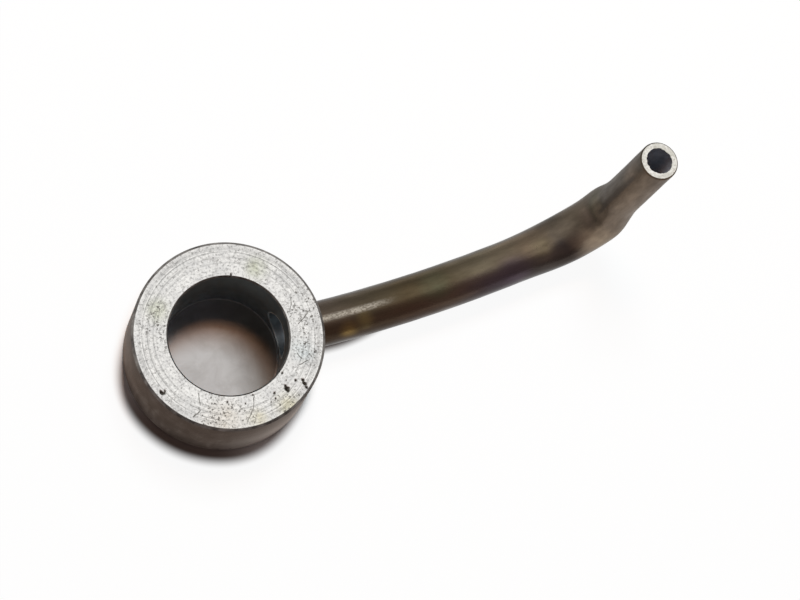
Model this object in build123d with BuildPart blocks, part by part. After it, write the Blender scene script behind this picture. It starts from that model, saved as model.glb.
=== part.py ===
from build123d import *
import math
import os

os.makedirs("parts", exist_ok=True)

# Piston cooling nozzle: a turned banjo ring that a hollow bolt clamps to the
# crankcase, and a bent steel jet tube brazed into a cross hole in its wall.
# Millimetres. The origin is the centre of the ring's lower seal face, +Z is the
# bore's axis, and the tube leaves the ring along +X.

# Banjo ring
ring_diameter = 20.0
ring_height = 8.5
bore_diameter = 12.5
rim_chamfer = 0.25
bore_chamfer = 0.16

# Jet tube: stub, sweep, upturn, neck and tip, in the order of the oil's flow
tube_diameter = 4.8
tube_wall = 0.65
tube_axis_height = 3.2
tube_setback = 0.9
stub_length = 0.5
sweep_radius = 167.0
sweep_length = 21.4
lead_length = 4.0
bend_radius = 7.0
bend_angle = 81.0
neck_length = 4.2
tip_length = 10.1
tip_diameter = 4.1
tip_edge = 0.2

# Where bending has left the tube out of round: wider across the bend, thinner in
# its plane, and pushed in along its inner side
bend_widening = 0.6
bend_thinning = 0.6
dent_depth = 0.35
dent_half_angle = 40.0
outline_points = 24

# Braze metal in the corner between tube and ring
braze_leg = 0.5

ring_radius = ring_diameter / 2
bore_radius = bore_diameter / 2
tube_radius = tube_diameter / 2
tip_radius = tip_diameter / 2
stub_plane = Plane.YZ.offset(bore_radius + tube_setback)
tube_axis = (0, tube_axis_height)

# Banjo ring: turned all over, with flat seal faces and a cross hole for the tube
with BuildPart() as banjo_ring:
    with BuildSketch(Plane.XZ) as wall_section:
        with Locations(((bore_radius + ring_radius) / 2, ring_height / 2)):
            Rectangle(ring_radius - bore_radius, ring_height)
        corners = wall_section.vertices().sort_by(Axis.X)
        chamfer(corners[:2], bore_chamfer)
        corners = wall_section.vertices().sort_by(Axis.X)
        chamfer(corners[-2:], rim_chamfer)
    revolve(axis=Axis.Z)
    with BuildSketch(Plane.YZ):
        with Locations(tube_axis):
            Circle(tube_radius)
    extrude(amount=ring_radius, mode=Mode.SUBTRACT)
banjo_ring.part.label = "banjo_ring"

# The tube's route parallel to the ring's faces: the stub starts inside the cross
# hole, and the lead is the last stretch, where the flattening begins
with BuildLine(Plane.XY.offset(tube_axis_height)) as flat_route:
    stub = Line((bore_radius + tube_setback, 0), (ring_radius + stub_length, 0))
    sweep_arc = JernArc(stub @ 1, stub % 1, sweep_radius, math.degrees(sweep_length / sweep_radius))
with BuildLine(Plane.XY.offset(tube_axis_height)) as lead_route:
    lead = JernArc(sweep_arc @ 1, sweep_arc % 1, sweep_radius, math.degrees(lead_length / sweep_radius))

# The upturn lies in a vertical plane, tangent to the lead, and the neck and the
# tip follow straight on
across = Vector(0, 0, 1).cross(lead % 1)
with BuildLine(Plane(origin=lead @ 1, x_dir=lead % 1, z_dir=-across)) as upturn_route:
    upturn = JernArc((0, 0), (1, 0), bend_radius, bend_angle)
    neck = Line(upturn @ 1, upturn @ 1 + (upturn % 1) * neck_length)


def round_section(place, direction, radius):
    """Return a round disc across the tube at one place."""
    with BuildSketch(Plane(origin=place, x_dir=across, z_dir=direction)) as disc:
        Circle(radius)
    return disc.sketch


def bent_section(place, direction, diameter, flatness, dent):
    """Return an out-of-round section, its y axis towards the bend's inner side."""
    half_width = (diameter + flatness * bend_widening) / 2
    half_depth = (diameter - flatness * bend_thinning) / 2
    outline = []
    for point in range(outline_points):
        angle = 360 * point / outline_points
        push = dent * dent_depth * math.exp(-(((angle - 90) / dent_half_angle) ** 2))
        x = half_width * math.cos(math.radians(angle))
        y = half_depth * math.sin(math.radians(angle)) - push
        outline.append((x, y))
    with BuildSketch(Plane(origin=place, x_dir=across, z_dir=direction)) as section:
        with BuildLine():
            Spline(*outline, periodic=True)
        make_face()
    return section.sketch


# The bend's sections from the lead to the foot of the tip. Each row gives the route,
# the place on it, then the shares of the narrowing, of the flattening and of the dent
stations = (
    (lead, 0.5, 0.0, 0.2, 0.0),
    (upturn, 0.0, 0.0, 0.5, 0.0),
    (upturn, 0.5, 0.0, 1.0, 0.35),
    (upturn, 1.0, 0.05, 0.75, 1.0),
    (neck, 0.4, 0.45, 0.4, 0.75),
    (neck, 0.75, 0.9, 0.08, 0.3),
)
bend_sections = [round_section(lead @ 0, lead % 0, tube_radius)]
for route, share, narrowing, flatness, dent in stations:
    diameter = tube_diameter - narrowing * (tube_diameter - tip_diameter)
    bend_sections.append(bent_section(route @ share, route % share, diameter, flatness, dent))
bend_sections.append(round_section(neck @ 1, neck % 1, tip_radius))

# The tube's outside, from the end in the cross hole to the tip
with BuildPart() as outside:
    with BuildSketch(stub_plane):
        with Locations(tube_axis):
            Circle(tube_radius)
    sweep(path=flat_route.wire())
    loft(bend_sections)
    extrude(round_section(neck @ 1, neck % 1, tip_radius), amount=tip_length)

# The oil passage: round all the way, and drawn down along the lead to the bore that
# the tip has, so that the wall holds where the bend is flattened and dented
inlet_radius = tube_radius - tube_wall
jet_radius = tip_radius - tube_wall
with BuildPart() as oil_passage:
    with BuildSketch(stub_plane):
        with Locations(tube_axis):
            Circle(inlet_radius)
    sweep(path=flat_route.wire())
    loft([round_section(lead @ 0, lead % 0, inlet_radius), round_section(lead @ 1, lead % 1, jet_radius)])
    sweep(round_section(upturn @ 0, upturn % 0, jet_radius), path=upturn)
    extrude(round_section(neck @ 0, neck % 0, jet_radius), amount=neck_length + tip_length)

with BuildPart() as jet_tube:
    add(outside.part)
    tip_end = jet_tube.faces().filter_by(GeomType.PLANE).sort_by(Axis.Z)[-1]
    chamfer(tip_end.edges(), tip_edge)
    add(oil_passage.part, mode=Mode.SUBTRACT)
jet_tube.part.label = "jet_tube"

# Braze metal: the bead that fills the corner where the tube enters the ring
with BuildPart() as braze_fillet:
    with BuildSketch(Plane.XY):
        Circle(ring_radius)
    extrude(amount=ring_height)
    with BuildSketch(Plane.YZ):
        with Locations(tube_axis):
            Circle(tube_radius)
    extrude(amount=ring_diameter)
    corner = braze_fillet.edges().filter_by(GeomType.BSPLINE)
    chamfer(corner, braze_leg)
    with BuildSketch(Plane.XY):
        Circle(ring_radius)
    extrude(amount=ring_height, mode=Mode.SUBTRACT)
    with BuildSketch(Plane.YZ):
        with Locations(tube_axis):
            Circle(tube_radius)
    extrude(amount=ring_diameter, mode=Mode.SUBTRACT)
braze_fillet.part.label = "braze_fillet"

export_step(banjo_ring.part, "parts/banjo_ring.step")
export_step(jet_tube.part, "parts/jet_tube.step")
export_step(braze_fillet.part, "parts/braze_fillet.step")
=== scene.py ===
import math

import bmesh
import bpy
from mathutils import Matrix, Vector, noise


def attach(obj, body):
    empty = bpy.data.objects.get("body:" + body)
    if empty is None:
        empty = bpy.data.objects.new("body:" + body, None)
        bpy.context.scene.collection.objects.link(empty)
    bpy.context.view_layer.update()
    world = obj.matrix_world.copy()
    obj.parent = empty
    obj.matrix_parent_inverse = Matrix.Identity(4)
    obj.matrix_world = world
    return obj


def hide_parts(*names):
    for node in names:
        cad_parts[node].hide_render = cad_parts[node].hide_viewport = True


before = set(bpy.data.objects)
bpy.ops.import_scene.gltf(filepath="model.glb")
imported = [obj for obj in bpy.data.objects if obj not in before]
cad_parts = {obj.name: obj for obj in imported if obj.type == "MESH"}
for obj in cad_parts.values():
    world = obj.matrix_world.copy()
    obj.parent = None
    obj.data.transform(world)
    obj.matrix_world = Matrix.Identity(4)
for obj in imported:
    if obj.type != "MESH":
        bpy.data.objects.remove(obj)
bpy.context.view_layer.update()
mm = 0.001  # lengths in the plans below are in millimetres, angles in degrees, colours linear
print("frame loaded")


# Meshes
def emptyMesh(name):
    made = bpy.data.objects.new(name, bpy.data.meshes.new(name))
    bpy.context.scene.collection.objects.link(made)
    return made


def finishMesh(piece, bm, sharpAngle=32.0):
    for face in bm.faces:
        face.smooth = True
    for edge in bm.edges:
        edge.smooth = len(edge.link_faces) != 2 or edge.calc_face_angle(0.0) < math.radians(sharpAngle)
    bm.to_mesh(piece.data)
    bm.free()
    piece.data.update()


def startLoop(bm, segments):
    # a circle of verts that each keep their angle, to grow a tube from
    aroundLayer = bm.verts.layers.float.new("around")
    bmesh.ops.create_circle(bm, segments=segments, radius=1.0)
    for vert in bm.verts:
        vert[aroundLayer] = math.atan2(vert.co.y, vert.co.x)
    return aroundLayer


def growLoop(bm, loop):
    # extrudes a closed loop of edges without moving it, and gives the new verts, loop and faces
    grown = bmesh.ops.extrude_edge_only(bm, edges=loop)["geom"]
    verts = [part for part in grown if isinstance(part, bmesh.types.BMVert)]
    edges = [part for part in grown if isinstance(part, bmesh.types.BMEdge)]
    faces = [part for part in grown if isinstance(part, bmesh.types.BMFace)]
    fresh = set(verts)
    return verts, [edge for edge in edges if fresh.issuperset(edge.verts)], faces


def turnBetween(first, second):
    # the angle from second to first, from -180 to 180 degrees
    return (first - second + 180) % 360 - 180


# Shader nodes
def addNode(tree, kind, inputs=None, **settings):
    made = tree.nodes.new(kind)
    for key, value in settings.items():
        setattr(made, key, value)
    for key, value in (inputs or {}).items():
        if isinstance(value, bpy.types.NodeSocket):
            tree.links.new(value, made.inputs[key])
        else:
            made.inputs[key].default_value = value
    return made


def calc(tree, operation, first, second=0.0, clamp=False):
    inputs = {0: first, 1: second}
    return addNode(tree, "ShaderNodeMath", inputs, operation=operation, use_clamp=clamp).outputs[0]


def product(tree, first, *others):
    for other in others:
        first = calc(tree, "MULTIPLY", first, other)
    return first


def vectorCalc(tree, operation, first, second=(0, 0, 0), output="Vector"):
    return addNode(tree, "ShaderNodeVectorMath", {0: first, 1: second}, operation=operation).outputs[output]


def scaled(tree, vector, scales):
    return vectorCalc(tree, "MULTIPLY", vector, scales)


def nudged(tree, vector, offset, reach):
    # the vector moved by the offset times the reach, in x and y
    return vectorCalc(tree, "ADD", vector, scaled(tree, offset, (reach, reach, 0)))


def lengthOf(tree, vector):
    return vectorCalc(tree, "LENGTH", vector, output="Value")


def towards(tree, vector, degrees):
    # how far the vector reaches in a level direction
    turn = math.radians(degrees)
    return vectorCalc(tree, "DOT_PRODUCT", vector, (math.cos(turn), math.sin(turn), 0), "Value")


def axesOf(tree, vector):
    return addNode(tree, "ShaderNodeSeparateXYZ", {0: vector}).outputs


def ease(tree, value, low, high, start=0.0, end=1.0):
    # smooth change from start to end while value goes from low to high: the plans give these four
    # numbers, or the first two of them, in one row
    inputs = {0: value, 1: low, 2: high, 3: start, 4: end}
    return addNode(tree, "ShaderNodeMapRange", inputs, interpolation_type="SMOOTHSTEP").outputs[0]


def fade(tree, value, low, high):
    # smooth change from 1 to 0 while value goes from low to high
    return ease(tree, value, low, high, 1.0, 0.0)


def spot(tree, place, centre, reach):
    # 1 at the centre, 0 from reach on
    return fade(tree, vectorCalc(tree, "DISTANCE", place, centre, "Value"), 0.0, reach)


def ramp(tree, factor, stops):
    made = addNode(tree, "ShaderNodeValToRGB", {"Fac": factor})
    while len(made.color_ramp.elements) < len(stops):
        made.color_ramp.elements.new(0.5)
    for element, (place, colour) in zip(made.color_ramp.elements, stops):
        element.position = place
        element.color = (*colour, 1.0)
    return made.outputs["Color"]


def mixColour(tree, factor, first, second, blend="MIX"):
    made = addNode(tree, "ShaderNodeMix", data_type="RGBA", blend_type=blend, clamp_factor=True)
    for index, value in ((0, factor), (6, first), (7, second)):
        if isinstance(value, bpy.types.NodeSocket):
            tree.links.new(value, made.inputs[index])
        elif index == 0:
            made.inputs[index].default_value = value
        else:
            made.inputs[index].default_value = (*value, 1.0)
    return made.outputs[2]


def darken(tree, colour, factor, levels, share=1.0):
    # multiplies the colour by greys that the factor picks from rows of (place, grey)
    greys = ramp(tree, factor, [(place, (level, level, level)) for place, level in levels])
    return mixColour(tree, share, colour, greys, "MULTIPLY")


def noiseValue(tree, vector, scale, detail=4.0, roughness=0.55, distortion=0.0):
    inputs = {"Vector": vector, "Scale": scale, "Detail": detail, "Roughness": roughness,
              "Distortion": distortion}
    return addNode(tree, "ShaderNodeTexNoise", inputs).outputs["Fac"]


def noiseColour(tree, vector, scale, detail):
    inputs = {"Vector": vector, "Scale": scale, "Detail": detail}
    return addNode(tree, "ShaderNodeTexNoise", inputs).outputs["Color"]


def lineNoise(tree, value, scale, detail, roughness):
    # noise in one direction only, for turning lines
    inputs = {"W": value, "Scale": scale, "Detail": detail, "Roughness": roughness}
    return addNode(tree, "ShaderNodeTexNoise", inputs, noise_dimensions="1D").outputs["Fac"]


def patches(tree, vector, levels, **texture):
    # noise eased between two levels, for a mask of soft patches
    return ease(tree, noiseValue(tree, vector, **texture), *levels)


def specks(tree, vector, scale, core, rim):
    # 1 in a speck's core and 0 from its rim on, both as shares of the cells' size
    cells = addNode(tree, "ShaderNodeTexVoronoi", {"Vector": vector, "Scale": scale})
    return fade(tree, cells.outputs["Distance"], core, rim)


def placeInMm(tree):
    place = addNode(tree, "ShaderNodeTexCoord").outputs["Object"]
    return addNode(tree, "ShaderNodeMapping", {"Vector": place, "Scale": (1 / mm,) * 3}).outputs[0]


def metal(name, roughness=0.35):
    made = bpy.data.materials.new(name)
    made.use_nodes = True
    shader = made.node_tree.nodes["Principled BSDF"]
    shader.inputs["Metallic"].default_value = 1.0
    shader.inputs["Roughness"].default_value = roughness
    return made, made.node_tree, shader


def setBump(tree, shader, height, strength, depth):
    # the plans give strength and depth in one row
    bump = addNode(tree, "ShaderNodeBump", {"Strength": strength, "Distance": depth * mm, "Height": height})
    tree.links.new(bump.outputs[0], shader.inputs["Normal"])


# Ring: the CAD's sizes, the marks of making and of use, and the finishes
ringPlan = {
    "diameter": 20.0,
    "height": 8.5,
    "bore": 12.5,
    "rimChamfer": 0.25,
    "boreChamfer": 0.16,
    "crossHole": 4.8,
    "crossHoleHeight": 3.2,
    "crossHoleSegments": 96,
    "drillLength": 14.0,  # half of it outside the ring
    "segments": 576,
    "weldReach": 0.002,
    # upward share of a normal above which a surface is flat, and above which it is a chamfer
    "flatSlope": 0.9,
    "chamferSlope": 0.3,
    # cuts on each side of the half section, from the bore's wall over the upper face and round
    "sectionCuts": [10, 2, 42, 2, 12, 2, 12, 2],
    # radius, width and depth of each line that the tool left on the upper face
    "turningLines": [(9.56, 0.07, 0.02), (9.22, 0.08, 0.016), (8.86, 0.07, 0.014), (8.42, 0.08, 0.01)],
    # angle, radius, reach along the turning, reach across it and depth of each knock
    "pits": [
        (-58.5, 8.02, 0.25, 0.26, 0.26),
        (-57.6, 7.72, 0.15, 0.17, 0.15),
        (-58.9, 8.3, 0.2, 0.15, 0.17),
        (-56.9, 8.16, 0.12, 0.11, 0.1),
        (-47.9, 9.16, 0.18, 0.34, 0.2),
        (-46.5, 8.82, 0.16, 0.26, 0.17),
        (-49.3, 9.52, 0.13, 0.28, 0.15),
        (-50.8, 6.66, 0.17, 0.13, 0.13),
        (-49.5, 8.2, 0.15, 0.17, 0.14),
        (-53.7, 7.43, 0.13, 0.11, 0.08),
        (-67.9, 7.53, 0.2, 0.15, 0.13),
        (-69.7, 8.05, 0.14, 0.15, 0.11),
        (-25.4, 9.0, 0.13, 0.14, 0.11),
        (-13.0, 7.88, 0.16, 0.1, 0.08),
        (-107.6, 6.98, 0.16, 0.13, 0.11),
        (-92.7, 7.3, 0.12, 0.14, 0.1),
        (-84.6, 6.64, 0.16, 0.12, 0.09),
        (-154.3, 9.25, 0.32, 0.19, 0.2),
        (-152.8, 9.05, 0.16, 0.14, 0.12),
        (-153.6, 8.86, 0.2, 0.12, 0.09),
        (71.6, 6.5, 0.1, 0.24, 0.14),
        (3.0, 8.9, 0.2, 0.08, 0.07),
        (10.5, 9.3, 0.08, 0.12, 0.07),
    ],
    "pitSteepness": 2.4,
    # upper face: its metal, the dirt in the marks, and the grain
    "clean": (1.0, 0.985, 0.95),
    "dull": (0.8, 0.79, 0.77),
    "dirt": (0.1, 0.09, 0.075),
    "mottle": {"scale": 0.55, "detail": 7.0, "roughness": 0.65},
    "cleanLevels": (0.34, 0.62),
    "grain": {"scale": 3.6, "detail": 6.0, "roughness": 0.72},
    "grainShade": [(0.36, 0.5), (0.46, 0.88), (0.53, 1.0)],
    "faceRoughness": (0.3, 0.7, 0.46, 0.3),
    "faceBump": (0.35, 0.06),
    # turning lines in the grain: strongest outside the line radii, broken here and there
    "faceLines": {"scale": 3.4, "detail": 3.0, "roughness": 0.7},
    "faceLineShade": [(0.36, 0.36), (0.46, 0.76), (0.56, 1.0)],
    "lineRadii": (7.4, 8.7, 0.35, 1.0),
    "lineBreaks": {"scale": 0.28, "detail": 2.0, "levels": (0.36, 0.56, 0.3, 1.0)},
    "lineRelief": 0.4,
    # x, y and reach of the places where pits and fine scratches crowd
    "wornPlaces": [
        (8.4, 0.6, 3.2), (7.4, -3.2, 2.4), (-6.8, 3.2, 2.6),
        (3.7, -8.3, 2.4), (-3.2, -7.6, 3.0), (-0.3, -9.0, 1.6),
    ],
    "wornStrength": 1.5,
    "elsewhere": {"scale": 0.7, "detail": 3.0, "levels": (0.42, 0.6, 0.0, 0.6)},
    "gaps": {"scale": 1.3, "detail": 2.0, "levels": (0.34, 0.48)},
    # scale, core and rim of the small and the large specks, and how their outline is broken up
    "specks": [(2.3, 0.15, 0.28), (1.2, 0.1, 0.18)],
    "jagged": {"scale": 4.5, "detail": 2.0},
    "jaggedReach": 0.35,
    # worm-like scratches: contours of a bent noise
    "bend": {"scale": 1.6, "detail": 3.0},
    "wormBend": 0.7,
    "worm": {"scale": 0.9, "detail": 3.0},
    "wormWidth": (0.006, 0.02),
    "wormBreaks": {"scale": 2.4, "detail": 1.0, "levels": (0.46, 0.54)},
    # where each hairline starts and ends
    "hairlines": [
        ((0.74, -6.64), (0.3, -7.93)), ((0.3, -7.93), (-0.64, -9.14)), ((-4.72, -4.98), (-4.9, -6.26)),
        ((-5.94, -7.26), (-5.01, -6.81)), ((7.3, -0.6), (8.6, 0.3)), ((6.2, -4.75), (7.15, -4.5)),
        ((6.3, -3.5), (6.56, -4.15)), ((6.9, 1.0), (7.4, 2.3)),
    ],
    "hairlineWidth": (0.021, 0.07),
    "hairlineBend": 0.3,
    "markStrength": 0.8,
    # depths between which a knock turns dark, and between which that ends, short of the lower face
    "knockDepth": (0.012, 0.07),
    "knockLimit": (0.8, 1.0),
    # x, y, reach and colour of each stain
    "stains": [
        (-6.3, 4.4, 2.0, (0.66, 0.68, 0.48)),
        (4.8, 6.2, 2.0, (0.68, 0.7, 0.52)),
        (3.9, -8.5, 2.2, (0.86, 0.8, 0.55)),
        (0.4, -9.1, 1.8, (0.9, 0.83, 0.6)),
        (-3.0, -8.6, 3.4, (0.92, 0.83, 0.7)),
        (6.9, -3.4, 1.8, (0.62, 0.72, 0.74)),
    ],
    "stainLevels": (0.3, 0.6, 1.0, 0.5),
    "stainStrength": 0.75,
    # outer wall: colours, the share of them kept from foot to top as painted shade, and a side painted
    # lighter near its foot as painted light
    "wallColours": [(0.3, (0.17, 0.137, 0.116)), (0.5, (0.25, 0.205, 0.178)), (0.72, (0.38, 0.33, 0.29))],
    "wallGrazing": (0.64, 0.57, 0.53),
    "wallPaintedShade": [(0.0, 1.0), (0.25, 0.72), (0.6, 0.42), (1.0, 0.28)],
    "paintedLightSide": 312.0,
    "wallPaintedLight": (0.7, 0.635, 0.585),
    "paintedLightReach": (4.0, 9.5),
    "paintedLightHeight": (0.3, 1.0, 1.0, 0.3),
    "paintedLightBreaks": (0.3, 0.5, 0.7, 1.0),
    "wallRoughness": 0.42,
    "wallBump": (0.3, 0.04),
    "streaks": {"scale": 1.2, "detail": 5.0, "roughness": 0.6},
    "streakStretch": (1, 1, 0.3),
    "blotch": {"scale": 0.35, "roughness": 0.6},
    "blotchLevels": (0.35, 0.65),
    "wallLines": {"scale": 3.6, "detail": 4.0, "roughness": 0.7},
    "wallLineShade": [(0.36, 0.7), (0.54, 1.0)],
    # rust spots near the foot: scale, core and rim, then the heights and blotches that bear them
    "rust": (0.02, 0.014, 0.01),
    "rustSpots": (1.3, 0.1, 0.28),
    "rustUneven": {"scale": 1.4, "detail": 2.0},
    "rustHeight": (0.8, 3.4, 0.8, 0.0),
    "rustBlotch": (0.44, 0.58),
    # bore: colours from foot to top, painted light at the foot and painted shade above it, and a painted
    # highlight on the cross hole's edge
    "boreColours": [(0.0, (0.7, 0.78, 0.82)), (0.45, (0.23, 0.265, 0.28)), (1.0, (0.13, 0.175, 0.19))],
    "boreRoughness": 0.4,
    "boreStreaks": {"scale": 0.8},
    "boreStreakShade": [(0.3, 0.7), (0.7, 1.0)],
    "boreEdge": (1.0, 1.0, 0.98),
    "boreEdgeWidth": (0.05, 0.2),
    "boreEdgeDepth": (0.04, 0.16),
    "boreEdgeBreaks": (0.35, 0.55, 0.45, 1.0),
    # chamfers, their steel painted dark as painted shade of the edges
    "rimShadeColours": [(0.35, (0.08, 0.072, 0.066)), (0.7, (0.28, 0.26, 0.24))],
    "rimRoughness": 0.4,
    "rimSpots": {"scale": 0.9, "detail": 3.0},
}


def hairline(tree, place, start, end):
    # 1 on the line from start to end
    run = Vector((*end, 0)) - Vector((*start, 0))
    fromStart = vectorCalc(tree, "SUBTRACT", place, (*start, 0))
    along = vectorCalc(tree, "DOT_PRODUCT", fromStart, run, "Value")
    share = calc(tree, "MULTIPLY", along, 1 / run.length_squared, True)
    nearest = addNode(tree, "ShaderNodeVectorMath", {0: run, 3: share}, operation="SCALE").outputs[0]
    away = vectorCalc(tree, "DISTANCE", fromStart, nearest, "Value")
    return fade(tree, away, *ringPlan["hairlineWidth"])


def faceMarks(tree, flat, height):
    # pits, scratches and hairlines, and the dark floors of the knocks
    plan = ringPlan
    worn = 0.0
    for x, y, reach in plan["wornPlaces"]:
        worn = calc(tree, "MAXIMUM", worn, spot(tree, flat, (x, y, 0), reach))
    crowd = product(tree, worn, plan["wornStrength"])
    crowd = calc(tree, "ADD", crowd, patches(tree, flat, **plan["elsewhere"]))
    crowd = calc(tree, "MULTIPLY", crowd, patches(tree, flat, **plan["gaps"]), True)
    jagged = nudged(tree, flat, noiseColour(tree, flat, **plan["jagged"]), plan["jaggedReach"])
    marks = 0.0
    for scale, core, rim in plan["specks"]:
        marks = calc(tree, "MAXIMUM", marks, specks(tree, jagged, scale, core, rim))
    bend = vectorCalc(tree, "SUBTRACT", noiseColour(tree, flat, **plan["bend"]), (0.5, 0.5, 0.5))
    worm = noiseValue(tree, nudged(tree, flat, bend, plan["wormBend"]), **plan["worm"])
    worm = fade(tree, calc(tree, "ABSOLUTE", calc(tree, "SUBTRACT", worm, 0.5)), *plan["wormWidth"])
    worm = product(tree, worm, patches(tree, flat, **plan["wormBreaks"]))
    marks = product(tree, calc(tree, "MAXIMUM", marks, worm), crowd)
    bent = nudged(tree, flat, bend, plan["hairlineBend"])
    for start, end in plan["hairlines"]:
        marks = calc(tree, "MAXIMUM", marks, hairline(tree, bent, start, end))
    depth = calc(tree, "ABSOLUTE", calc(tree, "SUBTRACT", plan["height"], height))
    sunk = product(tree, ease(tree, depth, *plan["knockDepth"]), fade(tree, depth, *plan["knockLimit"]))
    return calc(tree, "MAXIMUM", product(tree, marks, plan["markStrength"]), sunk)


def ringFaceSteel():
    plan = ringPlan
    made, tree, shader = metal("ringFaceSteel")
    place = placeInMm(tree)
    flat = scaled(tree, place, (1, 1, 0))
    radius = lengthOf(tree, flat)
    mottle = noiseValue(tree, flat, **plan["mottle"])
    colour = mixColour(tree, ease(tree, mottle, *plan["cleanLevels"]), plan["dull"], plan["clean"])
    unevenStain = ease(tree, mottle, *plan["stainLevels"])
    for x, y, reach, tint in plan["stains"]:
        mask = product(tree, spot(tree, flat, (x, y, 0), reach), unevenStain, plan["stainStrength"])
        colour = mixColour(tree, mask, colour, tint)
    grain = noiseValue(tree, flat, **plan["grain"])
    colour = darken(tree, colour, grain, plan["grainShade"])
    lines = lineNoise(tree, radius, **plan["faceLines"])
    outwards = ease(tree, radius, *plan["lineRadii"])
    lineShare = product(tree, outwards, patches(tree, flat, **plan["lineBreaks"]))
    colour = darken(tree, colour, lines, plan["faceLineShade"], lineShare)
    marks = faceMarks(tree, flat, axesOf(tree, place)[2])
    colour = mixColour(tree, marks, colour, plan["dirt"])
    tree.links.new(colour, shader.inputs["Base Color"])
    tree.links.new(ease(tree, grain, *plan["faceRoughness"]), shader.inputs["Roughness"])
    relief = calc(tree, "SUBTRACT", product(tree, lines, plan["lineRelief"]), marks)
    setBump(tree, shader, relief, *plan["faceBump"])
    return made


def shareOfHeight(tree, height):
    return addNode(tree, "ShaderNodeMapRange", {0: height, 1: 0.0, 2: ringPlan["height"]}).outputs[0]


def ringWallSteel():
    plan = ringPlan
    made, tree, shader = metal("ringWallSteel", plan["wallRoughness"])
    place = placeInMm(tree)
    height = axesOf(tree, place)[2]
    up = shareOfHeight(tree, height)
    streaks = noiseValue(tree, scaled(tree, place, plan["streakStretch"]), **plan["streaks"])
    blotch = noiseValue(tree, place, **plan["blotch"])
    colour = ramp(tree, streaks, plan["wallColours"])
    darkest = plan["wallColours"][0][1]
    colour = mixColour(tree, ease(tree, blotch, *plan["blotchLevels"]), colour, darkest)
    # painted light: the wall is painted lighter on one side, towards its foot, where it mirrors the bright
    # floor
    paintedLit = ease(tree, towards(tree, place, plan["paintedLightSide"]), *plan["paintedLightReach"])
    paintedLit = product(tree, paintedLit, ease(tree, blotch, *plan["paintedLightBreaks"]))
    paintedLit = product(tree, paintedLit, ease(tree, up, *plan["paintedLightHeight"]))
    colour = mixColour(tree, paintedLit, colour, plan["wallPaintedLight"])
    # painted shade: the wall darkens from its foot to its top
    colour = darken(tree, colour, up, plan["wallPaintedShade"])
    lines = lineNoise(tree, height, **plan["wallLines"])
    colour = darken(tree, colour, lines, plan["wallLineShade"])
    uneven = vectorCalc(tree, "ADD", place, noiseColour(tree, place, **plan["rustUneven"]))
    rust = product(tree, specks(tree, uneven, *plan["rustSpots"]), ease(tree, height, *plan["rustHeight"]),
                   ease(tree, blotch, *plan["rustBlotch"]))
    colour = mixColour(tree, rust, colour, plan["rust"])
    tree.links.new(colour, shader.inputs["Base Color"])
    shader.inputs["Specular Tint"].default_value = (*plan["wallGrazing"], 1.0)
    setBump(tree, shader, lines, *plan["wallBump"])
    return made


def ringBoreSteel():
    plan = ringPlan
    made, tree, shader = metal("ringBoreSteel", plan["boreRoughness"])
    place = placeInMm(tree)
    axes = axesOf(tree, place)
    # painted light and shade: the bore's steel is painted light at the foot and dark above it
    colour = ramp(tree, shareOfHeight(tree, axes[2]), plan["boreColours"])
    streaks = noiseValue(tree, scaled(tree, place, plan["streakStretch"]), **plan["boreStreaks"])
    colour = darken(tree, colour, streaks, plan["boreStreakShade"])

    # a painted highlight on the cross hole's edge, on the bore's own surface and on the tube's side only
    fromHole = scaled(tree, vectorCalc(tree, "SUBTRACT", place, (0, 0, plan["crossHoleHeight"])), (0, 1, 1))
    away = calc(tree, "ABSOLUTE", calc(tree, "SUBTRACT", lengthOf(tree, fromHole), plan["crossHole"] / 2))
    depth = calc(tree, "SUBTRACT", lengthOf(tree, scaled(tree, place, (1, 1, 0))), plan["bore"] / 2)
    edge = product(tree, fade(tree, away, *plan["boreEdgeWidth"]), fade(tree, depth, *plan["boreEdgeDepth"]),
                   calc(tree, "GREATER_THAN", axes[0], 0.0), ease(tree, streaks, *plan["boreEdgeBreaks"]))
    # painted highlight on the cross hole's edge
    colour = mixColour(tree, edge, colour, plan["boreEdge"])
    tree.links.new(colour, shader.inputs["Base Color"])
    return made


def ringRimSteel():
    plan = ringPlan
    made, tree, shader = metal("ringRimSteel", plan["rimRoughness"])
    spots = noiseValue(tree, placeInMm(tree), **plan["rimSpots"])
    # painted shade: the chamfers are painted dark
    tree.links.new(ramp(tree, spots, plan["rimShadeColours"]), shader.inputs["Base Color"])
    return made


def faceLevel(x, y):
    # how far the tool's lines and the knocks lie below the upper face at one place
    plan = ringPlan
    radius = math.hypot(x, y)
    angle = math.degrees(math.atan2(y, x))
    level = 0.0
    for place, width, depth in plan["turningLines"]:
        level += depth * math.exp(-((radius - place) / width) ** 2)
    for pitAngle, pitRadius, along, across, depth in plan["pits"]:
        away = math.radians(turnBetween(angle, pitAngle)) * pitRadius / along
        out = (radius - pitRadius) / across
        level += depth * math.exp(-plan["pitSteepness"] * (away * away + out * out))
    return level


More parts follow.
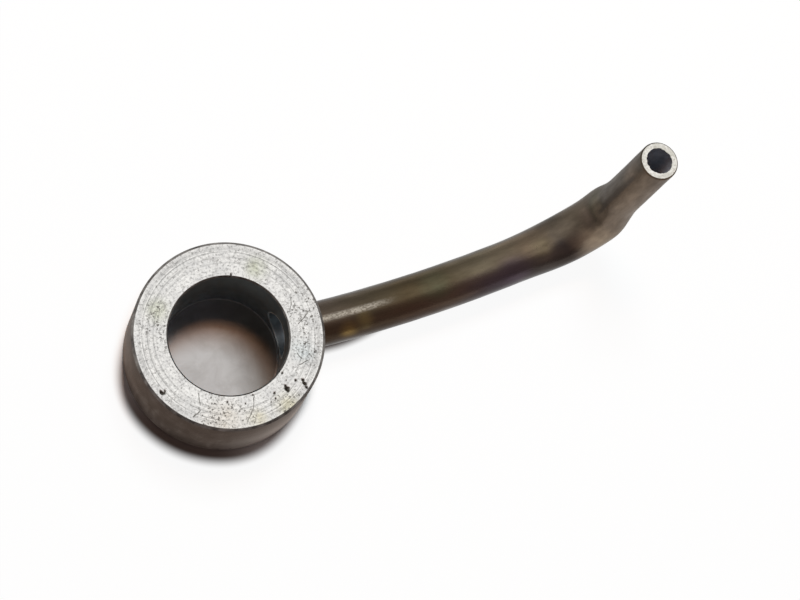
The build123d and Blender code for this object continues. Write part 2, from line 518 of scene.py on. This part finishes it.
def drillCrossHole(ring, zone):
    plan = ringPlan
    cutter = emptyMesh("crossHoleCutter")
    bm = bmesh.new()
    middle = Matrix.Translation((plan["diameter"] / 2 * mm, 0, plan["crossHoleHeight"] * mm))
    radius = plan["crossHole"] / 2 * mm
    bmesh.ops.create_cone(bm, cap_ends=True, segments=plan["crossHoleSegments"],
                          radius1=radius, radius2=radius, depth=plan["drillLength"] * mm,
                          matrix=middle @ Matrix.Rotation(math.pi / 2, 4, "Y"))
    for face in bm.faces:
        face.material_index = zone
    bm.to_mesh(cutter.data)
    bm.free()
    for finish in ring.data.materials:
        cutter.data.materials.append(finish)
    hole = ring.modifiers.new("crossHole", "BOOLEAN")
    hole.object = cutter
    hole.operation = "DIFFERENCE"
    hole.solver = "EXACT"
    graph = bpy.context.evaluated_depsgraph_get()
    drilled = bpy.data.meshes.new_from_object(ring.evaluated_get(graph))
    ring.modifiers.clear()
    ring.data = drilled
    bpy.data.objects.remove(cutter)
    bm = bmesh.new()
    bm.from_mesh(ring.data)
    finishMesh(ring, bm)


def makeRing():
    plan = ringPlan
    outer, inner, height = plan["diameter"] / 2, plan["bore"] / 2, plan["height"]
    boreEdge, rimEdge = plan["boreChamfer"], plan["rimChamfer"]
    ring = emptyMesh("banjoRingTurned")
    bm = bmesh.new()
    # half section, turned about the bore's axis
    corners = [
        (inner, boreEdge), (inner, height - boreEdge), (inner + boreEdge, height), (outer - rimEdge, height),
        (outer, height - rimEdge), (outer, rimEdge), (outer - rimEdge, 0.0), (inner + boreEdge, 0.0),
    ]
    points = [bm.verts.new((radius * mm, 0, level * mm)) for radius, level in corners]
    edges = [bm.edges.new(pair) for pair in zip(points, points[1:] + points[:1])]
    for edge, count in zip(edges, plan["sectionCuts"]):
        bmesh.ops.subdivide_edges(bm, edges=[edge], cuts=count)
    bmesh.ops.spin(bm, geom=bm.verts[:] + bm.edges[:], cent=(0, 0, 0), axis=(0, 0, 1), dvec=(0, 0, 0),
                   angle=2 * math.pi, steps=plan["segments"], use_merge=True)
    bmesh.ops.remove_doubles(bm, verts=bm.verts[:], dist=plan["weldReach"] * mm)
    bmesh.ops.recalc_face_normals(bm, faces=bm.faces[:])
    onFace = [vert for vert in bm.verts if vert.co.z > (height - plan["weldReach"] / 2) * mm]
    for vert in onFace:
        vert.co.z -= faceLevel(vert.co.x / mm, vert.co.y / mm) * mm

    faceZone, wallZone, boreZone, rimZone = range(4)
    for face in bm.faces:
        slope = abs(face.normal.z)
        if slope > plan["flatSlope"]:
            face.material_index = faceZone
        elif slope > plan["chamferSlope"]:
            face.material_index = rimZone
        elif face.calc_center_median().xy.length / mm > (outer + inner) / 2:
            face.material_index = wallZone
        else:
            face.material_index = boreZone
    finishMesh(ring, bm)
    for finish in (ringFaceSteel(), ringWallSteel(), ringBoreSteel(), ringRimSteel()):
        ring.data.materials.append(finish)
    drillCrossHole(ring, boreZone)
    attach(ring, "root")
    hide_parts("banjo_ring")


# Tube: the CAD's sizes, run by run from the end in the cross hole, then the marks and the finishes
tubePlan = {
    "diameter": 4.8,
    "wall": 0.65,
    "axisHeight": 3.2,
    "setback": 0.9,
    "stubOut": 0.5,
    "sweep": 21.4,
    "sweepRadius": 167.0,
    "lead": 4.0,
    "bendRadius": 7.0,
    "bendAngle": 81.0,
    "neck": 4.2,
    "tip": 10.1,
    "tipDiameter": 4.1,
    "tipEdge": 0.2,
    "tipEdgeDepth": 0.14,
    "widening": 0.6,
    "thinning": 0.6,
    "dentDepth": 0.35,
    "dentHalfAngle": 40.0,
    # place along the tube, place around it, length, spread in degrees and height of each swelling,
    # the last of them a groove
    "swellings": [
        (35.0, 123, 1.5, 13, 0.1), (39.3, 121, 1.3, 13, 0.1), (39.4, 62, 3.0, 12, 0.06),
        (39.6, 25, 2.6, 30, 0.16), (45.0, 93, 5.5, 8, -0.025),
    ],
    # height of the skin's faint waves, and how close they follow each other along the tube
    "waviness": 0.014,
    "wavesAlong": 0.6,
    # the saw's burr at the tip: its reach, then frequency, seed and strength of its large and fine teeth
    "burr": 0.12,
    "burrBase": 0.1,
    "burrTeeth": [(2.1, 4.0, 0.9), (5.0, 9.0, 1.1)],
    # distance below the end, share of the burr, and whether the row still belongs to the sawn end
    "burrRows": [(0.1, 1.0, True), (0.3, 0.6, False), (0.6, 0.0, False)],
    "endRelief": 0.05,
    "endReliefScale": 2.5,
    "endRings": 5,
    "edgeRings": 4,
    "segments": 128,
    "step": 0.22,
    "boreStep": 0.8,
    # colour along the tube, on its upper side and on the side towards the near edge: heat tint, with painted
    # light and shade, the upper side lighter, the near side darker, and painted highlights near the bend
    "upper": [
        (0.0, (0.11, 0.085, 0.07)), (4.5, (0.13, 0.1, 0.075)), (9.0, (0.115, 0.09, 0.058)),
        (13.0, (0.115, 0.084, 0.047)), (17.5, (0.13, 0.1, 0.06)), (22.0, (0.18, 0.147, 0.1)),
        (27.0, (0.21, 0.155, 0.105)), (31.0, (0.15, 0.12, 0.09)), (36.0, (0.115, 0.09, 0.064)),
        (43.0, (0.105, 0.085, 0.066)), (52.9, (0.095, 0.075, 0.055)),
    ],
    "lower": [
        (0.0, (0.1, 0.065, 0.04)), (9.0, (0.12, 0.08, 0.052)), (13.0, (0.12, 0.074, 0.05)),
        (17.5, (0.15, 0.1, 0.072)), (22.0, (0.12, 0.088, 0.1)), (27.0, (0.125, 0.1, 0.09)),
        (31.5, (0.12, 0.095, 0.08)), (35.0, (0.36, 0.28, 0.2)), (39.5, (0.21, 0.16, 0.118)),
        (43.0, (0.22, 0.165, 0.118)), (48.0, (0.2, 0.145, 0.1)), (52.9, (0.16, 0.115, 0.08)),
    ],
    # where one side's colour turns into the other's, across the tube, as the painted edge between light and
    # shade, and how that moves at the crease
    "splitStart": (-1.5, -0.5),
    "splitEnd": 0.1,
    "splitMoves": (38.0, 41.0),
    "splitUneven": (37.0, 40.0, 0.35, 0.08),
    "patches": {"scale": 0.5, "detail": 3.0, "roughness": 0.5},
    "patchStretch": (1, 1, 0.5),
    "patchReach": 5.0,
    "patchLevels": (0.35, 0.6, 0.5, 1.0),
    # painted shade that darkens the flanks, right and left, then how far past the bend's start it gives way,
    # and to what level
    "flankShade": [(-2.2, -1.4, 0.5, 1.0), (1.6, 2.2, 1.0, 0.5)],
    "flankEnd": (5.0, 0.95),
    "drawn": {"scale": 1.6, "detail": 6.0, "roughness": 0.65},
    "drawnStretch": (1, 1, 0.25),
    "drawnShade": [(0.3, 0.74), (0.68, 1.0)],
    "fine": {"scale": 7.0, "detail": 3.0, "roughness": 0.6},
    "fineStretch": (1, 1, 0.5),
    # a painted highlight along the top of the tube beside the ring
    "paintedHighlightLine": (0.46, 0.41, 0.34),
    "highlightLineOffset": 0.1,
    "highlightLineWidth": (0.05, 0.5),
    "highlightLineStart": (2.2, 3.6),
    "highlightLineEnd": (8.0, 12.0),
    "highlightLineBreaks": (0.4, 0.56, 0.35, 1.0),
    # a dark line painted along the crease on the inner side of the bend, as painted shade and reflection:
    # where it starts and ends, and its colour
    "crease": (38.6, 51.2),
    "creasePlace": -0.11,
    "creaseShadeColour": (0.1, 0.077, 0.06),
    "creaseWidth": (0.08, 0.34),
    "creaseFades": (1.5, 1.6),
    "creaseStrength": 0.8,
    # place along, place around, reach and colour of each tint: heat tints, and painted highlights and shade
    # near the bend
    "tintsAndPaintedLight": [
        (5.9, 138, 1.5, (0.26, 0.17, 0.06)), (7.7, 122, 1.4, (0.24, 0.18, 0.08)),
        (16.0, 88, 2.4, (0.13, 0.125, 0.075)), (39.5, 64, 2.6, (0.115, 0.11, 0.062)),
        (24.6, 132, 2.8, (0.1, 0.072, 0.095)), (28.5, 98, 2.0, (0.24, 0.19, 0.12)),
        (39.6, 92, 2.2, (0.36, 0.27, 0.2)), (36.6, 84, 2.2, (0.2, 0.15, 0.115)),
        (31.2, 121, 1.6, (0.085, 0.07, 0.066)), (50.0, 98, 3.0, (0.19, 0.14, 0.098)),
    ],
    "skinRoughness": (0.3, 0.7, 0.36, 0.27),
    "neckRoughness": 0.2,
    "neckRoughStart": 3.0,
    "skinBump": (0.25, 0.04),
    # sawn end
    "endColours": [(0.34, (0.5, 0.47, 0.4)), (0.5, (0.86, 0.83, 0.77)), (0.66, (0.97, 0.95, 0.9))],
    "endGrain": {"scale": 4.0, "detail": 4.0, "roughness": 0.65},
    "endStain": (0.68, 0.66, 0.59),
    "endStains": {"scale": 1.1, "detail": 2.0, "levels": (0.46, 0.6, 0.0, 0.75)},
    "endRoughness": 0.38,
    "endBump": (0.5, 0.08),
    # bore: an oily film over the steel takes some of its metallic look away
    "boreColours": [(0.3, (0.36, 0.38, 0.43)), (0.7, (0.48, 0.49, 0.53))],
    "boreGrain": {"scale": 1.2},
    "boreRoughness": 0.5,
    "boreMetallic": 0.4,
}

# length, radius and side of each run of the route, from the end in the cross hole
stubStart = ringPlan["bore"] / 2 + tubePlan["setback"]
stubLength = ringPlan["diameter"] / 2 + tubePlan["stubOut"] - stubStart
bendLength = tubePlan["bendRadius"] * math.radians(tubePlan["bendAngle"])
tubeRuns = [
    (stubLength, 0.0, (0, 0, 0)),
    (tubePlan["sweep"] + tubePlan["lead"], tubePlan["sweepRadius"], (1, 0, 0)),
    (bendLength, tubePlan["bendRadius"], (0, 1, 0)),
    (tubePlan["neck"] + tubePlan["tip"], 0.0, (0, 0, 0)),
]
bendStart = stubLength + tubePlan["sweep"] + tubePlan["lead"]
bendEnd = bendStart + bendLength
tubeLength = bendEnd + tubePlan["neck"] + tubePlan["tip"]

# rows of place along the tube and share, for the narrowing, the flattening and the dent
neckTable = [(bendEnd - 2.4, 0.0), (bendEnd + tubePlan["neck"], 1.0)]
flatTable = [(bendStart - 4.0, 0.0), (bendStart + 4.0, 1.0), (bendEnd - 1.6, 1.0), (bendEnd + 3.4, 0.0)]
dentTable = [(bendStart + 1.0, 0.0), (bendEnd + 0.6, 1.0), (bendEnd + 1.4, 1.0), (bendEnd + 4.6, 0.0)]


def routePlace(along):
    # x across the tube, y to the bend's inner side, z forward
    place = Matrix.Translation((stubStart, 0, tubePlan["axisHeight"]))
    place = place @ Matrix(((0, 0, 1), (1, 0, 0), (0, 1, 0))).to_4x4()
    left = along
    for length, radius, side in tubeRuns:
        step = max(0.0, min(left, length))
        if radius:
            centre = Matrix.Translation(Vector(side) * radius)
            turn = Matrix.Rotation(step / radius, 4, Vector((0, 0, 1)).cross(Vector(side)))
            place = place @ centre @ turn @ centre.inverted()
        else:
            place = place @ Matrix.Translation((0, 0, step))
        left -= step
    return place


def eased(value, table):
    # smooth value between rows of (place, value)
    if value <= table[0][0]:
        return table[0][1]
    for (low, first), (high, second) in zip(table, table[1:]):
        if value <= high:
            share = (value - low) / (high - low)
            share = share * share * (3 - 2 * share)
            return first + share * (second - first)
    return table[-1][1]


def skinPoint(along, around, inset=0.0):
    plan = tubePlan
    flat = eased(along, flatTable)
    radius = (plan["diameter"] + eased(along, neckTable) * (plan["tipDiameter"] - plan["diameter"])) / 2
    halfWidth = radius + flat * plan["widening"] / 2 - inset
    halfDepth = radius - flat * plan["thinning"] / 2 - inset
    degrees = math.degrees(around)
    fromDent = turnBetween(degrees, 90) / plan["dentHalfAngle"]
    push = eased(along, dentTable) * plan["dentDepth"] * math.exp(-(fromDent ** 2))
    swell = 0.0
    for place, side, length, spread, height in plan["swellings"]:
        beside = turnBetween(degrees, side) / spread
        swell += height * math.exp(-(((along - place) / length) ** 2) - beside * beside)
    return Vector(((halfWidth + swell) * math.cos(around), (halfDepth + swell) * math.sin(around) - push, 0))


def burrReach(around):
    # how far the saw's burr stands into the bore at the tip
    reach = tubePlan["burrBase"]
    for frequency, seed, strength in tubePlan["burrTeeth"]:
        place = Vector((math.cos(around) * frequency, math.sin(around) * frequency, seed))
        reach += strength * noise.noise(place)
    return tubePlan["burr"] * max(0.0, min(1.0, reach))


# painted highlight: 1 on the bright line along the top of the tube beside the ring
def paintedHighlightLine(tree, across, up, along, fineGrain):
    plan = tubePlan
    offLine = calc(tree, "ABSOLUTE", calc(tree, "ADD", across, plan["highlightLineOffset"]))
    return product(tree, fade(tree, offLine, *plan["highlightLineWidth"]), calc(tree, "GREATER_THAN", up, 0.0),
                   ease(tree, along, *plan["highlightLineStart"]), fade(tree, along, *plan["highlightLineEnd"]),
                   ease(tree, fineGrain, *plan["highlightLineBreaks"]))


# painted shade and reflection: 1 on the dark line along the crease
def crease(tree, across, up, along):
    plan = tubePlan
    offLine = calc(tree, "ABSOLUTE", calc(tree, "SUBTRACT", across, plan["creasePlace"]))
    start, end = plan["crease"]
    fadeIn, fadeOut = plan["creaseFades"]
    return product(tree, fade(tree, offLine, *plan["creaseWidth"]), calc(tree, "GREATER_THAN", up, 0.0),
                   ease(tree, along, start, start + fadeIn),
                   ease(tree, along, end - fadeOut, end, plan["creaseStrength"], 0.0))


def tubeSteel():
    plan = tubePlan
    made, tree, shader = metal("tubeTintedSteel")
    straight = addNode(tree, "ShaderNodeAttribute", attribute_name="straight").outputs["Vector"]
    across, up, along = axesOf(tree, straight)[:3]
    blotch = noiseValue(tree, scaled(tree, straight, plan["patchStretch"]), **plan["patches"])
    uneven = product(tree, calc(tree, "SUBTRACT", blotch, 0.5), plan["patchReach"])
    share = calc(tree, "DIVIDE", calc(tree, "ADD", along, uneven), tubeLength)
    # painted light and shade: one ramp of heat tint for the upper side, and a darker one for the side towards
    # the near edge
    upper = ramp(tree, share, [(place / tubeLength, colour) for place, colour in plan["upper"]])
    lower = ramp(tree, share, [(place / tubeLength, colour) for place, colour in plan["lower"]])
    side = calc(tree, "ADD", across, product(tree, uneven, ease(tree, along, *plan["splitUneven"])))
    atCrease = ease(tree, along, *plan["splitMoves"])
    splitStart = ease(tree, atCrease, 0.0, 1.0, *plan["splitStart"])
    colour = mixColour(tree, fade(tree, side, splitStart, plan["splitEnd"]), upper, lower)
    # painted shade darkens the tube's flanks up to the bend
    left, right = plan["flankShade"]
    flankShade = product(tree, ease(tree, across, *left), ease(tree, across, *right))
    flankReach, flankLevel = plan["flankEnd"]
    atBend = ease(tree, along, bendStart, bendStart + flankReach, 0.0, flankLevel)
    colour = darken(tree, colour, calc(tree, "MAXIMUM", flankShade, atBend), [(0.0, 0.0), (1.0, 1.0)])

    # tints of the heat with painted highlights and shade, then the grain of drawing, then the painted
    # highlight line and the painted shade along the crease
    tubeRadius = plan["diameter"] / 2
    unevenTint = ease(tree, blotch, *plan["patchLevels"])
    for place, around, reach, tint in plan["tintsAndPaintedLight"]:
        turn = math.radians(around)
        centre = (tubeRadius * math.cos(turn), tubeRadius * math.sin(turn), place)
        colour = mixColour(tree, product(tree, spot(tree, straight, centre, reach), unevenTint), colour, tint)
    drawn = noiseValue(tree, scaled(tree, straight, plan["drawnStretch"]), **plan["drawn"])
    colour = darken(tree, colour, drawn, plan["drawnShade"])
    fineGrain = noiseValue(tree, scaled(tree, straight, plan["fineStretch"]), **plan["fine"])
    colour = mixColour(tree, paintedHighlightLine(tree, across, up, along, fineGrain), colour, plan["paintedHighlightLine"])
    colour = mixColour(tree, crease(tree, across, up, along), colour, plan["creaseShadeColour"])
    tree.links.new(colour, shader.inputs["Base Color"])
    neck = ease(tree, along, bendStart + plan["neckRoughStart"], bendEnd)
    roughness = calc(tree, "ADD", ease(tree, drawn, *plan["skinRoughness"]),
                     product(tree, neck, plan["neckRoughness"]))
    tree.links.new(roughness, shader.inputs["Roughness"])
    setBump(tree, shader, fineGrain, *plan["skinBump"])
    return made


def tubeEndSteel():
    plan = tubePlan
    made, tree, shader = metal("tubeEndSteel", plan["endRoughness"])
    place = placeInMm(tree)
    grain = noiseValue(tree, place, **plan["endGrain"])
    colour = ramp(tree, grain, plan["endColours"])
    colour = mixColour(tree, patches(tree, place, **plan["endStains"]), colour, plan["endStain"])
    tree.links.new(colour, shader.inputs["Base Color"])
    setBump(tree, shader, grain, *plan["endBump"])
    return made


def tubeBoreSteel():
    plan = tubePlan
    made, tree, shader = metal("tubeBoreSteel", plan["boreRoughness"])
    shader.inputs["Metallic"].default_value = plan["boreMetallic"]
    grain = noiseValue(tree, placeInMm(tree), **plan["boreGrain"])
    tree.links.new(ramp(tree, grain, plan["boreColours"]), shader.inputs["Base Color"])
    return made


skinZone, endZone, passageZone = range(3)


def tubeRows():
    # each row: place along, depth below the skin, share of the burr, material
    plan = tubePlan
    end, edge, edgeDepth, wall = tubeLength, plan["tipEdge"], plan["tipEdgeDepth"], plan["wall"]
    count = math.ceil((end - edge) / plan["step"])
    rows = [((end - edge) * i / count, 0.0, 0.0, skinZone) for i in range(count + 1)]
    for i in range(1, plan["edgeRings"] + 1):
        turn = math.pi / 2 * i / plan["edgeRings"]
        rows.append((end - edge + edge * math.sin(turn), edgeDepth * (1 - math.cos(turn)), 0.0, skinZone))
    for i in range(1, plan["endRings"] + 1):
        share = i / plan["endRings"]
        rows.append((end, edgeDepth + (wall - edgeDepth) * share, share, endZone))
    for below, share, sawn in plan["burrRows"]:
        rows.append((end - below, wall, share, endZone if sawn else passageZone))
    count = math.ceil(end / plan["boreStep"])
    rows += [(end * (1 - i / count), wall, 0.0, passageZone) for i in range(1, count + 1)]
    return rows


def makeTube():
    plan = tubePlan
    tube = emptyMesh("jetTubeBent")
    bm = bmesh.new()
    straightLayer = bm.verts.layers.float_vector.new("straight")
    aroundLayer = startLoop(bm, plan["segments"])
    verts, loop = bm.verts[:], bm.edges[:]
    firstLoop = loop
    for index, (along, inset, burr, zone) in enumerate(tubeRows()):
        if index:
            verts, loop, faces = growLoop(bm, loop)
            for face in faces:
                face.material_index = zone
        for vert in verts:
            around = vert[aroundLayer]
            point = skinPoint(along, around, inset + burr * burrReach(around))
            lift = 0.0
            if zone == skinZone:
                wave = noise.noise(Vector((point.x, point.y, along * plan["wavesAlong"])))
                point *= 1 + plan["waviness"] / (plan["diameter"] / 2) * wave
            elif zone == endZone:
                scale = plan["endReliefScale"]
                lift = -plan["endRelief"] * abs(noise.noise(Vector((point.x * scale, point.y * scale, 1.0))))
            vert.co = routePlace(along + lift) @ point * mm
            vert[straightLayer] = (point.x, point.y, along)
    for face in bmesh.ops.bridge_loops(bm, edges=firstLoop + loop)["faces"]:
        face.material_index = passageZone
    bmesh.ops.recalc_face_normals(bm, faces=bm.faces[:])
    finishMesh(tube, bm)
    for finish in (tubeSteel(), tubeEndSteel(), tubeBoreSteel()):
        tube.data.materials.append(finish)
    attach(tube, "root")
    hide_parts("jet_tube")


# Braze: the bead in the corner of tube and ring, its face sunk towards the corner
brazePlan = {
    "leg": 0.5,
    "slump": 0.35,
    "segments": 96,
    "steps": 8,
    "colours": [(0.3, (0.09, 0.055, 0.035)), (0.7, (0.26, 0.16, 0.09))],
    "grain": {"scale": 0.9, "detail": 5.0},
    "roughness": 0.45,
}


def brazeMetal():
    plan = brazePlan
    made, tree, shader = metal("brazeMetal", plan["roughness"])
    grain = noiseValue(tree, placeInMm(tree), **plan["grain"])
    tree.links.new(ramp(tree, grain, plan["colours"]), shader.inputs["Base Color"])
    return made


def onRing(around, reach):
    # the point of the ring's wall at one distance and direction from the tube's axis
    outer = ringPlan["diameter"] / 2
    y, z = reach * math.cos(around), reach * math.sin(around)
    return Vector((math.sqrt(outer * outer - y * y), y, z + tubePlan["axisHeight"]))


def beadPoint(around, share):
    # share 0 lies on the ring's wall, share 1 on the tube
    root = onRing(around, tubePlan["diameter"] / 2)
    onWall = onRing(around, tubePlan["diameter"] / 2 + brazePlan["leg"])
    onTube = root + Vector((brazePlan["leg"], 0, 0))
    control = ((onWall + onTube) / 2).lerp(root, brazePlan["slump"])
    return onWall * (1 - share) ** 2 + control * 2 * share * (1 - share) + onTube * share ** 2


def makeBraze():
    plan = brazePlan
    bead = emptyMesh("brazeBead")
    bm = bmesh.new()
    aroundLayer = startLoop(bm, plan["segments"])
    verts, loop = bm.verts[:], bm.edges[:]
    firstLoop = loop
    # across the bead's face, and then back to the corner
    for step in range(plan["steps"] + 2):
        if step:
            verts, loop, _ = growLoop(bm, loop)
        for vert in verts:
            around = vert[aroundLayer]
            if step > plan["steps"]:
                point = onRing(around, tubePlan["diameter"] / 2)
            else:
                point = beadPoint(around, step / plan["steps"])
            vert.co = point * mm
    bmesh.ops.bridge_loops(bm, edges=firstLoop + loop)
    bmesh.ops.recalc_face_normals(bm, faces=bm.faces[:])
    finishMesh(bead, bm)
    bead.data.materials.append(brazeMetal())
    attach(bead, "root")
    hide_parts("braze_fillet")


# Floor: white to the camera, but for its own shades near the metal, with a painted shadow at the ring's foot
# and painted shade in the bore
floorPlan = {
    "size": 4000.0,
    "colour": (0.93, 0.93, 0.93),
    "whitening": 0.94,
    # distances from the ring's axis and the tube's line between which the floor turns white
    "ringShade": (10.6, 12.1),
    "tubeShade": (1.7, 2.8),
    # x at which the tube's shade begins, and at which it ends where the tube rises, each as added distance
    "tubeShadeStart": (-2.0, 0.0, 9.0, 0.0),
    "tubeShadeEnd": (12.0, 32.0, 0.0, 4.0),
    # how much nearer the ring the floor turns white on the lamps' side
    "litSide": 1.0,
    "litTurn": (0.2, 0.92),
    # the least share of white in what the metal mirrors from the floor
    "glow": 0.17,
    # painted shadow: the darkest stretch beside the ring, away from the lamps, seen by the camera only
    "paintedContactShadow": (0.4, 0.345, 0.31),
    "contactShade": (10.6, 11.8),
    "contactSide": 231.0,
    "contactTurn": (0.66, 0.98),
    # the floor seen through the bore, painted darker than outside as painted shade: lit, behind in y, and
    # shaded in x
    "underBore": (0.51, 0.515, 0.52),
    "underBoreBack": (0.27, 0.26, 0.27),
    "underBoreShaded": (0.17, 0.157, 0.142),
    "backFrom": (1.5, 5.0),
    "shadedFrom": (-0.5, 5.2),
    "mottle": {"scale": 0.45, "detail": 6.0, "roughness": 0.62, "distortion": 0.6},
    "mottleColours": [(0.34, (0.84, 0.83, 0.82)), (0.6, (1.0, 1.0, 1.0))],
    # the floor's zones change out of sight under the ring's wall, this far from its edges
    "underWall": 0.5,
    "boreBlend": 0.2,
}


def fromTubeLine(tree, x, y):
    # distance from the tube's line on the floor: straight, then bowed to the left by the sweep
    plan = floorPlan
    straightEnd = ringPlan["diameter"] / 2 + tubePlan["stubOut"]
    bowed = calc(tree, "MAXIMUM", calc(tree, "SUBTRACT", x, straightEnd), 0.0)
    line = calc(tree, "DIVIDE", product(tree, bowed, bowed), 2 * tubePlan["sweepRadius"])
    away = calc(tree, "ABSOLUTE", calc(tree, "SUBTRACT", y, line))
    away = calc(tree, "ADD", away, ease(tree, x, *plan["tubeShadeEnd"]))
    return calc(tree, "ADD", away, ease(tree, x, *plan["tubeShadeStart"]))


def floorInBore(tree, place, x, y):
    # painted shade: the floor under the bore is darker than outside, darker still towards the back and the
    # tube, with a faint mottle
    plan = floorPlan
    colour = mixColour(tree, ease(tree, y, *plan["backFrom"]), plan["underBore"], plan["underBoreBack"])
    colour = mixColour(tree, ease(tree, x, *plan["shadedFrom"]), colour, plan["underBoreShaded"])
    mottle = ramp(tree, noiseValue(tree, place, **plan["mottle"]), plan["mottleColours"])
    return mixColour(tree, 1.0, colour, mottle, "MULTIPLY")


def floorMaterial():
    plan = floorPlan
    made = bpy.data.materials.new("paleFloor")
    made.use_nodes = True
    tree = made.node_tree
    tree.nodes.clear()
    place = placeInMm(tree)
    axes = axesOf(tree, place)
    radius = lengthOf(tree, place)
    boreRadius, ringRadius = ringPlan["bore"] / 2, ringPlan["diameter"] / 2
    facing = towards(tree, place, plan["contactSide"])
    facing = calc(tree, "DIVIDE", facing, calc(tree, "MAXIMUM", radius, 1.0))
    fromRing = calc(tree, "ADD", radius, ease(tree, facing, *plan["litTurn"], plan["litSide"], 0.0))
    ray = addNode(tree, "ShaderNodeLightPath").outputs
    seen = calc(tree, "MAXIMUM", ray["Is Camera Ray"],
                calc(tree, "MAXIMUM", ray["Is Glossy Ray"], ray["Is Transmission Ray"]))
    outsideBore = calc(tree, "GREATER_THAN", radius, boreRadius + plan["underWall"])
    clearOfTube = ease(tree, fromTubeLine(tree, axes[0], axes[1]), *plan["tubeShade"])
    clearOfRing = ease(tree, fromRing, *plan["ringShade"])
    share = product(tree, seen, plan["whitening"], clearOfTube, clearOfRing, outsideBore)
    outsideRing = calc(tree, "GREATER_THAN", radius, ringRadius - plan["underWall"])
    share = calc(tree, "MAXIMUM", share, product(tree, ray["Is Glossy Ray"], outsideRing, plan["glow"]))
    # painted shadow on the floor at the ring's foot, on the side away from the lamps, for the camera only
    paintedContactShadow = product(tree, fade(tree, radius, *plan["contactShade"]),
                      ease(tree, facing, *plan["contactTurn"]), ray["Is Camera Ray"])
    colour = mixColour(tree, paintedContactShadow, plan["colour"], plan["paintedContactShadow"])
    pastBore = ease(tree, radius, boreRadius - plan["boreBlend"], boreRadius + plan["boreBlend"])
    colour = mixColour(tree, pastBore, floorInBore(tree, place, axes[0], axes[1]), colour)
    matt = addNode(tree, "ShaderNodeBsdfDiffuse", {"Color": colour})
    white = addNode(tree, "ShaderNodeEmission", {"Color": (1, 1, 1, 1), "Strength": 1.0})
    mix = addNode(tree, "ShaderNodeMixShader", {0: share, 1: matt.outputs[0], 2: white.outputs[0]})
    addNode(tree, "ShaderNodeOutputMaterial", {0: mix.outputs[0]})
    return made


def makeFloor():
    floor = emptyMesh("floor")
    bm = bmesh.new()
    bmesh.ops.create_grid(bm, x_segments=1, y_segments=1, size=floorPlan["size"] * mm)
    bm.to_mesh(floor.data)
    bm.free()
    floor.data.materials.append(floorMaterial())


# Light: a room that the metal mirrors, and lamps
lightPlan = {
    "aim": (12.0, 0.0, 4.0),
    "distance": 420.0,
    # name, azimuth, elevation, size, power and colour
    "lamps": [
        ("keyLight", 65.0, 62.5, 115.0, 1.56, (0.77, 0.93, 1.0)),
        ("warmLight", 74.0, 72.0, 60.0, 0.68, (1.0, 0.52, 0.28)),
    ],
    "ambient": (0.082, 0.064, 0.062),
    "nearSide": (-0.24, -0.93, 0.0),
    # brightness of the room from the far side over the top to the near side
    "studio": [(0.0, (0.5,) * 3), (0.3, (1.02,) * 3), (0.54, (1.06,) * 3), (0.62, (0.36, 0.31, 0.3)),
               (0.95, (0.3, 0.25, 0.24))],
}


def background(tree, colour):
    return addNode(tree, "ShaderNodeBackground", {"Color": colour, "Strength": 1.0}).outputs[0]


def makeRoom():
    # the metal mirrors the studio, the camera sees white, and all else gets the ambient light
    plan = lightPlan
    world = bpy.data.worlds.new("studio")
    bpy.context.scene.world = world
    world.use_nodes = True
    tree = world.node_tree
    tree.nodes.clear()
    ray = addNode(tree, "ShaderNodeLightPath").outputs
    seen = calc(tree, "MAXIMUM", ray["Is Camera Ray"], ray["Is Transmission Ray"])
    direction = addNode(tree, "ShaderNodeTexCoord").outputs["Generated"]
    near = vectorCalc(tree, "DOT_PRODUCT", direction, plan["nearSide"], "Value")
    nearness = addNode(tree, "ShaderNodeMapRange", {0: near, 1: -1.0, 2: 1.0}).outputs[0]
    studio = background(tree, ramp(tree, nearness, plan["studio"]))
    ambient = background(tree, (*plan["ambient"], 1.0))
    white = background(tree, (1, 1, 1, 1))
    mirrored = addNode(tree, "ShaderNodeMixShader", {0: ray["Is Glossy Ray"], 1: ambient, 2: studio})
    mix = addNode(tree, "ShaderNodeMixShader", {0: seen, 1: mirrored.outputs[0], 2: white})
    addNode(tree, "ShaderNodeOutputWorld", {0: mix.outputs[0]})


def makeLamps():
    plan = lightPlan
    for name, side, elevation, size, power, colour in plan["lamps"]:
        lamp = bpy.data.lights.new(name, "AREA")
        lamp.shape = "SQUARE"
        lamp.size = size * mm
        lamp.energy = power
        lamp.color = colour
        holder = bpy.data.objects.new(name, lamp)
        bpy.context.scene.collection.objects.link(holder)
        azimuth, height = math.radians(side), math.radians(elevation)
        back = Vector((math.cos(azimuth) * math.cos(height), math.sin(azimuth) * math.cos(height),
                       math.sin(height)))
        holder.location = (Vector(plan["aim"]) + back * plan["distance"]) * mm
        holder.rotation_euler = (-back).to_track_quat("-Z", "Y").to_euler()
        holder.visible_glossy = False


# Camera: fitted to the photo
cameraPlan = {
    "lens": 172.8,
    "sensor": 36.0,
    "clip": (0.01, 20.0),  # in metres
    "place": (-74.865, -83.299, 384.512),
    "turn": (15.562, -9.776, -17.107),
}


def makeCamera():
    plan = cameraPlan
    data = bpy.data.cameras.new("photoCamera")
    data.lens = plan["lens"]
    data.sensor_width = plan["sensor"]
    data.clip_start, data.clip_end = plan["clip"]
    holder = bpy.data.objects.new("photoCamera", data)
    bpy.context.scene.collection.objects.link(holder)
    holder.location = Vector(plan["place"]) * mm
    holder.rotation_euler = [math.radians(angle) for angle in plan["turn"]]
    bpy.context.scene.camera = holder


makeCamera()
makeRing()
print("ring made")
makeTube()
print("tube made")
makeBraze()
print("braze made")
makeFloor()
makeRoom()
makeLamps()
bpy.context.scene.view_settings.view_transform = "Standard"
print("stage made")
